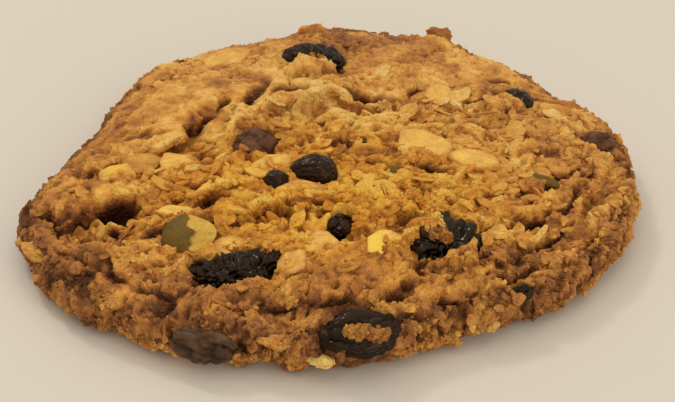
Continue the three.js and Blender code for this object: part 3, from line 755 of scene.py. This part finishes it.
def raisin_points(ball, long, wide, thick, number, folds, ribs, bend):
    """A wrinkled raisin along X: a ball whose radius is drawn in where noise passes nought, so that round
    folds meet in sharp creases, along it or, with more ribs, across it, and its right end bent back."""
    bx, by, bz = ball.T
    offset = 10 * number
    broad = np.abs(cloud(0.62, 5, ribs * bx + offset, by, bz))
    close = np.abs(cloud(0.34, 6, ribs * bx + offset + 0.3 * by, by, bz))
    tiny = np.abs(cloud(0.17, 7, ribs * bx + offset, by + 0.2 * bx, bz))
    crease = folds * (0.3 * np.exp(-broad / 0.22) + 0.17 * np.exp(-close / 0.3)) + 0.07 * np.exp(-tiny / 0.3)
    girth = 1.06 - crease + 0.2 * cloud(0.8, 8, bx + offset, by, bz)
    shape = ball * np.array([long, wide, thick]) / 2 * np.stack([1 - 0.4 * crease, girth, girth], -1)
    shape[:, 1] += bend * np.maximum(bx, 0)**2
    return shape, crease


def raisin_finish(name, dark, pale, roughness, shine):
    """Raisin skin: painted shade in the creases, paler ridges, patchy tone, a soft gloss and fine wrinkles.
    """
    finish, tree = new_finish(name)
    crease_shade = 1 - tree.mark("crease") * 2.4
    worn = tree.grain(0.0026)
    skin = (crease_shade * worn * 1.7 - 0.3).blend(dark, pale)
    wrinkles = tree.grain(0.0006) + 0.8 * tree.grain(0.0014)
    close_finish(
        tree, Base_Color=skin, Roughness=roughness + 0.3 * (worn - 0.5), Normal=wrinkles.bump(0.16, 0.0003),
        Specular_IOR_Level=shine, Specular_Tint=RAISIN_GLOSS_TINT)
    return finish


black_skin = raisin_finish("raisin_skin_black", linear(9, 5, 3), linear(48, 29, 17), 0.13, 0.32)
brown_skin = raisin_finish("raisin_skin_brown", linear(62, 34, 20), linear(138, 86, 54), 0.46, 0.3)
grey_skin = raisin_finish("raisin_skin_grey", linear(44, 29, 19), linear(120, 88, 62), 0.42, 0.3)
dull_skin = raisin_finish("raisin_skin_dull", linear(14, 9, 6), linear(62, 42, 29), 0.34, 0.26)
# Skin, depth of the folds, ribs across and bend of the raisins that differ from the plain ones
RAISIN_LOOKS = {
    "raisin_far": (dull_skin, 0.9, 1.2, 0), "raisin_brown": (brown_skin, 0.6, 0.8, 0),
    "raisin_middle": (black_skin, 0.35, 0.6, 0), "raisin_bead": (black_skin, 0.3, 0.6, 0),
    "raisin_long": (black_skin, 1.3, 4.4, 2.0), "raisin_split": (black_skin, 1.3, 2.2, 0),
    "raisin_ring": (black_skin, 0.9, 0.5, 0.8), "raisin_foot": (grey_skin, 0.8, 1.0, 0),
    "raisin_edge": (brown_skin, 0.7, 0.8, 0),
}
PLAIN_LOOK = (black_skin, 0.8, 0.8, 0)
_, _, raisin_ball, raisin_faces = ball_grid(RAISIN_AROUND, RAISIN_RINGS)
raisin_skins = {}
for index, (name, row) in enumerate(RAISINS.items()):
    place, sunk, size, (turn, lean) = row[:2], row[2], row[3:6], row[6:]
    skin, *wrinkling = RAISIN_LOOKS.get(name, PLAIN_LOOK)
    shape, crease = raisin_points(raisin_ball, *size, index, *wrinkling)
    middle = (*place, FOOT_HEIGHT) if sunk is None else in_top(*place, sunk)
    raisin_skins[name] = turned(shape, turn, lean) + middle
    raisin = make_piece(name + "_skin", raisin_skins[name], skin, {"crease": crease}, raisin_faces)
    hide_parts(name)

# The pumpkin seed: a flat green kernel with a thin dark skin, pressed into the top on the near left.
# Its right end broke before baking, and the paler inside shows there, chipped and uneven.
SEED_POINT = 0.3
SEED_ROLL = -10
CHIP_DEPTH = 0.4
seed_long, seed_wide, seed_thick, seed_turned, seed_lean = SEED_PLACE[3:]
_, _, seed_ball, seed_faces = ball_grid(64, 40)
broken = smooth(seed_ball[:, 0] + 0.25 * cloud(1.0, 38, *(3 * seed_ball.T)), -0.15, 0.35)
chips = 1 + 0.9 * cloud(1.0, 39, *(4 * seed_ball.T)) + 0.5 * cloud(1.0, 58, *(9 * seed_ball.T))
taper = 1 - SEED_POINT * smooth(seed_ball[:, 0], -0.2, 1)
half_thick = taper * (1 - CHIP_DEPTH * broken * chips) * seed_thick / 2
seed_shape = seed_ball * np.stack([np.full_like(taper, seed_long / 2), taper * seed_wide / 2, half_thick], -1)
seed_placed = turned(seed_shape, seed_turned, seed_lean, SEED_ROLL) + in_top(*SEED_PLACE[:3])
seed_finish, tree = new_finish("pumpkin_seed_skin")
end = 2.2 * (tree.mark("broken") + 1.1 * (tree.grain(0.0012) - 0.5)) - 0.6
green = tree.grain(0.0018).blend(linear(82, 60, 10), linear(126, 94, 22))
pale = tree.grain(0.001).blend(linear(180, 138, 46), linear(236, 192, 86))
chipped = tree.grain(0.0006) + tree.mark("broken") * tree.grain(0.0011)
close_finish(tree, Base_Color=end.blend(green, pale), Roughness=0.5 + 0.2 * (tree.grain(0.001) - 0.5),
             Normal=chipped.bump(0.5, 0.0005), Specular_IOR_Level=0.2)
seed = make_piece("pumpkin_seed_kernel", seed_placed, seed_finish, {"broken": broken}, seed_faces)
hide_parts("pumpkin_seed")

# Slivers of other pumpkin seeds: thin green pieces of broken kernels, mixed into the dough with the oats.
# They were baked into the crust and lie edge on in it.
SLIVER_LIFT = 0.15
SLIVER_BREAK = 0.25
GROUND_REACH = 2.0
# Middle, length, width, thickness, turn and lean of each
SLIVERS = ((29.8, -6.4, 4.6, 1.5, 1.0, -30, 30), (8.6, -5.2, 3.6, 1.3, 0.9, 8, 30))


def on_skin(middle_x, middle_y, lift):
    """A place over the dough around it: lifted over the mean height of the dough's points near it in plan."""
    near = np.hypot(points[..., 0] - middle_x, points[..., 1] - middle_y) < GROUND_REACH
    return middle_x, middle_y, points[..., 2][near & ~on_wall].mean() + lift


sliver_shapes = []
for middle_x, middle_y, *size, turn, lean in SLIVERS:
    middle = on_skin(middle_x, middle_y, SLIVER_LIFT)
    sliver_shapes.append(turned(seed_ball * size / 2, turn, lean) + middle)
sliver_marks = {"broken": SLIVER_BREAK * broken}
slivers = make_piece("seed_slivers", sliver_shapes, seed_finish, sliver_marks, seed_faces)

# Oat flakes and seed kernels: rolled oats pressed flat, lying on the crust or baked in edge on, and smooth
# split kernels. They are pale where they stand clear, and toasted like the dough where they are sunk.
OAT_LIFT = 0.05
OAT_CURL = 0.3
OAT_EDGE_TOAST = 0.25
OAT_BASE_TOAST = 0.05
FLAKE_SIDES = 7
# Middle, length, width, thickness, turn, lean, roll, depth of the crease and how toasted each one is
OATS = (
    (13, 0.2, 8.4, 6.6, 0.8, -14, 12, 4, 0.2, 0.2), (20, -3.4, 7.6, 3.5, 2.2, -22, 14, 0, 0.0, 0.24),
    (7.4, -20.8, 6.4, 4, 1.3, 26, 18, 4, 0.05, -0.04), (-2.6, -20.6, 7, 4.2, 0.8, 2, 12, -4, 0.15, 0.2),
    (-5.2, -25.0, 5, 4.4, 0.9, -80, 16, 0, 0.4, 0.32), (-13.4, -21.2, 7.4, 4.8, 0.7, 10, 8, 6, 0.2, 0.32),
    (-21.8, -3.8, 5.4, 5.2, 0.7, 30, 14, 8, 0.3, 0.16), (-30.2, -5.0, 5.4, 3.2, 0.7, 22, 42, 0, 0.2, 0.14),
    (-27.4, -1.8, 6.6, 3.0, 0.7, 14, 48, 0, 0.2, 0.24), (-21.6, -13.6, 5.2, 2.2, 1.5, -8, 15, 0, 0.1, 0.12),
    (-3.6, -10.3, 7.2, 2.6, 0.7, -2, 42, 0, 0.2, 0.36), (15.8, 13.4, 4.6, 4.4, 0.7, -4, 8, 6, 0.2, 0.24),
    (-16, 24, 8, 4.4, 0.8, 18, 4, -6, 0.2, 0.32), (-8.4, -4, 5.6, 3, 0.8, 12, 18, 0, 0.2, 0.24),
)


def flake_points(turn, tilt, long, wide, thick, crease, number):
    """A rolled oat: a ball pressed flat, its outline torn along straight sides at drawn angles and distances
    (half as much for a kernel, which has no crease), with a crease along its top and its ends curled up."""
    side = np.arange(FLAKE_SIDES)[:, None]
    facing_side = np.cos(turn - 2 * np.pi * (side + 0.7 * draw(side, number, 1)) / FLAKE_SIDES)
    torn = np.minimum(((0.84 + 0.24 * draw(side, number, 2)) / np.maximum(facing_side, 0.25)).min(0), 1.2)
    edge = np.sqrt(np.sin(tilt)) * (torn if crease else (1 + torn) / 2)
    along, across = edge * np.cos(turn), edge * np.sin(turn)
    furrow = crease * np.exp(-(across / 0.14)**2) * (1 - along**2) * (np.cos(tilt) > 0)
    height = thick / 2 * (np.cos(tilt) - furrow) + OAT_CURL * (along**2 + 0.6 * across**2 - 0.4)
    return np.stack([along * long / 2, across * wide / 2, height], -1)


oat_turn, oat_tilt, _, oat_faces = ball_grid(28, 11)
oat_shapes = []
oat_marks = {"toast": [], "across": []}
for index, (middle_x, middle_y, *size, turn, lean, roll, crease, shade) in enumerate(OATS):
    shape = flake_points(oat_turn, oat_tilt, *size, crease, index)
    middle = on_skin(middle_x, middle_y, OAT_LIFT)
    oat_shapes.append(turned(shape, turn, lean, roll) + middle)
    oat_marks["toast"].append(shade + OAT_BASE_TOAST + OAT_EDGE_TOAST * np.sin(oat_tilt)**3)
    oat_marks["across"].append(shape[:, 1] + 10 * index)
OAT_COLOURS = (
    linear(250, 206, 70), linear(236, 184, 76), linear(214, 149, 58),
    linear(170, 100, 44), linear(110, 62, 30),
)
oat_finish, tree = new_finish("toasted_oat")
line_sockets = {"W": tree.mark("across"), "Scale": 2.6}
lines = tree.add("ShaderNodeTexNoise", {"noise_dimensions": "1D"}, line_sockets, "Fac")
flecks = 0.5 * (tree.grain(0.0009, 3.0) - 0.5) + 0.8 * (tree.grain(0.003) - 0.5) + 0.25 * (lines - 0.5)
bran = tree.grain(0.0005, 3.0) + tree.grain(0.0015)
close_finish(tree, Base_Color=(tree.mark("toast") + flecks).ramp(*OAT_COLOURS),
             Roughness=0.55 + 0.2 * (tree.grain(0.002) - 0.5), Normal=bran.bump(0.6, 0.0005))
oats = make_piece("oat_flakes", oat_shapes, oat_finish, oat_marks, oat_faces)

# Broken flakes: bits of rolled oat mixed all through the dough and baked into its crust, most of them small.
# They lie nearly along the skin, sunk a little into it, coated and browned like the dough around them.
BROKEN_FLAKES = 2300
SHARD_SIDES = 5
SHARD_SHADE = 0.5
SHARD_CREASE = np.radians(40)
# Section of a flake, from the middle of its top over the edge to the middle below: reach and height
SHARD_RINGS = np.array([0, 0.55, 1.0, 0.95, 0])
SHARD_HEIGHTS = np.array([0.5, 0.5, 0.3, -0.4, -0.5])


def frames_along(directions, spread, rng):
    """A square frame for each direction: its third axis is the direction leaned by a random amount, and the
    other two are square to it, turned at random."""
    third = directions + spread * rng.normal(size=directions.shape)
    third /= np.linalg.norm(third, axis=-1, keepdims=True)
    first = np.cross(third, rng.normal(size=directions.shape))
    first /= np.linalg.norm(first, axis=-1, keepdims=True)
    return np.stack([first, np.cross(third, first), third], -1)


def scattered_marks(marks, toast_shift, shade_share):
    """Marks of many small shapes, one for each, from those of the skin under them: browned more or less by a
    shift, and keeping only a share of the painted shade."""
    toast = np.clip(marks["toast"] + toast_shift, 0, 1)
    marks = {**marks, "toast": toast, "deep": shade_share * marks["deep"]}
    return {name: values[:, None] for name, values in marks.items()}


rng = np.random.default_rng(7)
open_dough = (seats < 0.2) & (plain_height > 1.5) & (blur(painted_shade, 1) < 0.4)
crowding = 1 + 0.6 * smooth(x, 10, 30) + 0.6 * smooth(share, 0.6, 0.9)
likely = np.where(open_dough, calm**2 * crowding, 0).ravel()
spots = rng.choice(likely.size, BROKEN_FLAKES, p=likely / likely.sum(), replace=False)
spot_share = share.ravel()[spots][:, None]
shard_long = 0.9 + 3.4 * rng.random((BROKEN_FLAKES, 1))**3
shard_long *= 1 - 0.42 * smooth(spot_share, 0.7, 0.92)
shard_wide = shard_long * rng.uniform(0.4, 0.85, (BROKEN_FLAKES, 1))
shard_thick = rng.uniform(0.25, 0.5, (BROKEN_FLAKES, 1))
side_shift = rng.uniform(-0.35, 0.35, (BROKEN_FLAKES, SHARD_SIDES))
side_turn = 2 * np.pi * (np.arange(SHARD_SIDES) + side_shift) / SHARD_SIDES
side_reach = rng.uniform(0.6, 1.0, (BROKEN_FLAKES, SHARD_SIDES))
shard_turn, shard_tilt, _, shard_faces = ball_grid(14, len(SHARD_RINGS) - 2)
ring = np.round(shard_tilt / np.pi * (len(SHARD_RINGS) - 1)).astype(int)
facing_side = np.cos(shard_turn - side_turn[..., None])
outline = np.minimum((side_reach[..., None] / np.maximum(facing_side, 0.2)).min(1), 1.15)
along = outline * SHARD_RINGS[ring] * np.cos(shard_turn)
across = outline * SHARD_RINGS[ring] * np.sin(shard_turn)
curl = rng.uniform(-0.06, 0.12, (BROKEN_FLAKES, 1)) * shard_wide
height = SHARD_HEIGHTS[ring] * shard_thick + curl * (along**2 + 0.5 * across**2 - 0.3)
shards = np.stack([along * shard_long / 2, across * shard_wide / 2, height], -1)
shard_lean = 0.4 - 0.25 * smooth(spot_share, 0.85, 1)
shard_frames = frames_along(skin_facing[spots], shard_lean, rng)
shard_sunk = rng.uniform(0.05, 0.3, (BROKEN_FLAKES, 1)) * skin_facing[spots]
shards = np.einsum("pij,pvj->pvi", shard_frames, shards) + (skin_points[spots] - shard_sunk)[:, None]
shard_marks = {name: values[spots] for name, values in dough_marks.items()}
shard_marks = scattered_marks(shard_marks, rng.uniform(-0.12, 0.1, BROKEN_FLAKES), SHARD_SHADE)
shard_piece = make_piece("oat_shards", shards, dough_finish, shard_marks, shard_faces)
shard_piece.data.set_sharp_from_angle(angle=SHARD_CREASE)

# Knobs: nuggets of dough and one pale kernel that stand out of the rim, pushed out as the round was pressed.
# Two are on the far side, two at the left, and one and the kernel in the near wall.
# Each one's middle, half length, half width, half thickness, turn and how toasted it is
KNOBS = (
    (16.6, 33.4, 7.0, 1.9, 1.1, 1.5, -8, 0.66), (-2.9, 33.2, 7.5, 2.0, 1.3, 1.6, 10, 0.48),
    (-42.6, -13.2, 4.2, 1.1, 0.8, 0.7, 20, 0.1), (-40.4, -17.2, 5.0, 2.6, 1.3, 1.0, -30, 0.45),
    (-7.4, -35.6, 5.2, 2.0, 1.1, 0.9, -6, 0.5), (-1.2, -37.2, 3.0, 1.8, 0.9, 0.8, -14, 0.02),
)
# Swelling of a knob: share of its reach, cell of the noise and number of the draw
KNOB_SWELLS = ((0.3, 0.7, 53), (0.16, 0.25, 54), (0.1, 0.11, 59))
_, _, knob_ball, knob_faces = ball_grid(64, 40)
knob_shapes = []
for index, (*middle, long, wide, thick, turn, _) in enumerate(KNOBS):
    place = knob_ball.T + 5 * index
    swell = 1 + sum(amount * cloud(cell, series, *place) for amount, cell, series in KNOB_SWELLS)
    knob_shapes.append(turned(knob_ball * swell[:, None] * (long, wide, thick), turn) + middle)
knob_marks = {"toast": [row[-1:] for row in KNOBS], "deep": 0, "rich": 0}
knobs = make_piece("knobs", knob_shapes, dough_finish, knob_marks, knob_faces)

# Crumbs: small grains of dough that broke off and baked on where they lay, all over the crust and most of all
# on its steep broken faces. Some cling to the raisins, where dough was smeared over them.
CRUMBS = 9000
CRUMB_SHADE = 0.9
CRUMB_SUNK = 0.25
# Dough that clings to a raisin: node, place on its face along and across, reach and number of crumbs
CLINGS = (
    ("raisin_ring", -0.08, 0.05, 0.36, 130), ("raisin_ring", 0.38, -0.2, 0.3, 70),
    ("raisin_foot", 0.2, 0.55, 0.35, 30), ("raisin_split", 0.0, -0.1, 0.3, 40),
    ("raisin_far", 0.2, -0.4, 0.3, 14),
)
CLING_MARKS = {"toast": 0.72, "deep": 0.0, "rich": 0.5}
on_dough = (seats < 0.2) & (plain_height > 0.6)
likely = np.where(on_dough, (0.15 + crumbly) * calm**2 + collar**4 + 1.5 * steep * top_weight, 0)
likely = (likely + 1.2 * smooth(share, 0.9, 1) * smooth(plain_height, 0.6, 1.6)).ravel()
spots = rng.choice(likely.size, CRUMBS, p=likely / likely.sum(), replace=False)
places = [skin_points[spots]]
ways = [skin_facing[spots]]
sizes = [0.14 + 0.4 * rng.random(CRUMBS)**3]
crumb_marks = {name: [values[spots]] for name, values in dough_marks.items()}
for name, along, across, reach, pieces in CLINGS:
    off = np.hypot(raisin_ball[:, 0] - along, raisin_ball[:, 1] - across) / reach
    spots = rng.choice(np.flatnonzero((off < 1) & (raisin_ball[:, 2] > 0)), pieces)
    way = raisin_skins[name][spots] - raisin_skins[name].mean(0)
    places.append(raisin_skins[name][spots])
    ways.append(way / np.linalg.norm(way, axis=-1, keepdims=True))
    sizes.append(rng.uniform(0.3, 0.75, pieces) * (1.2 - 0.6 * off[spots]))
    for mark, value in CLING_MARKS.items():
        crumb_marks[mark].append(np.full(pieces, value))
places, ways, sizes = np.concatenate(places), np.concatenate(ways), np.concatenate(sizes)[:, None]
crumb_marks = {name: np.concatenate(values) for name, values in crumb_marks.items()}
count = len(sizes)
_, _, crumb_ball, crumb_faces = ball_grid(5, 2)
uneven = rng.uniform(0.7, 1.3, (count, len(crumb_ball), 1)) * rng.uniform(0.7, 1.3, (count, 1, 3))
crumbs = np.roll(crumb_ball, -1, -1) * uneven * sizes[:, None]
crumbs = np.einsum("pij,pvj->pvi", frames_along(ways, 1.0, rng), crumbs)
crumbs += (places - CRUMB_SUNK * sizes * ways)[:, None]
crumb_marks = scattered_marks(crumb_marks, rng.uniform(-0.15, 0.14, count), CRUMB_SHADE)
crumb_piece = make_piece("crumbs", crumbs, dough_finish, crumb_marks, crumb_faces, rounded=False)

# The board, light and camera: a pale smooth board under the cookie, a broad lamp above, a fill on the right,
# a small lamp like a window behind on the left, and a view from above the near side. Sizes are in metres.
BOARD_HALF = 2.0
BOARD_DROP = 0.0001
board_corners = [(x * BOARD_HALF, y * BOARD_HALF, 0) for x, y in ((-1, -1), (1, -1), (1, 1), (-1, 1))]
board_mesh = bpy.data.meshes.new("board")
board_mesh.from_pydata(board_corners, [], [(0, 1, 2, 3)])
board_finish, tree = new_finish("pale_board")
close_finish(tree, Base_Color=linear(220, 210, 192), Roughness=0.6)
board_mesh.materials.append(board_finish)
floor = new_object("board", board_mesh)
floor.location.z = -BOARD_DROP

LAMP_COLOUR = (1.0, 0.97, 0.94)
ROOM_COLOUR = (1.0, 0.96, 0.9, 1)
ROOM_STRENGTH = 0.615


def soft_light(name, place, size, watts):
    """A square lamp aimed at the cookie's middle: leaned by its angle from the vertical, turned in plan."""
    px, py, pz = place
    lamp = bpy.data.lights.new(name, "AREA")
    lamp.size = size
    lamp.energy = watts
    lamp.color = LAMP_COLOUR
    holder = new_object(name, lamp)
    holder.location = place
    holder.rotation_euler = (np.arccos(pz / np.linalg.norm(place)), 0, np.arctan2(px, -py))


soft_light("ceiling", (-0.06, 0.1, 0.95), 1.3, 2.6)
soft_light("fill", (0.45, -0.55, 0.4), 0.6, 1.4)
soft_light("window", (-0.4, 0.5, 0.75), 0.12, 1.5)
world = bpy.data.worlds.new("room")
bpy.context.scene.world = world
world.use_nodes = True
room = world.node_tree.nodes["Background"].inputs
room["Color"].default_value = ROOM_COLOUR
room["Strength"].default_value = ROOM_STRENGTH
bpy.context.scene.view_settings.view_transform = "Standard"

IMAGE_WIDTH = 675
FOCAL_PIXELS = 2061
SENSOR = 36.0
VIEW_HEIGHT = np.radians(38)
VIEW_DISTANCE = 0.3
LOOK_AT = np.array([0.8, 0.7, 0]) * MM
camera_data = bpy.data.cameras.new("camera")
camera_data.sensor_width = SENSOR
camera_data.lens = FOCAL_PIXELS / IMAGE_WIDTH * SENSOR
camera_data.clip_start = 0.01
camera = new_object("camera", camera_data)
camera.location = LOOK_AT + VIEW_DISTANCE * np.array([0, -np.cos(VIEW_HEIGHT), np.sin(VIEW_HEIGHT)])
camera.rotation_euler = (np.pi / 2 - VIEW_HEIGHT, 0, 0)
bpy.context.scene.camera = camera
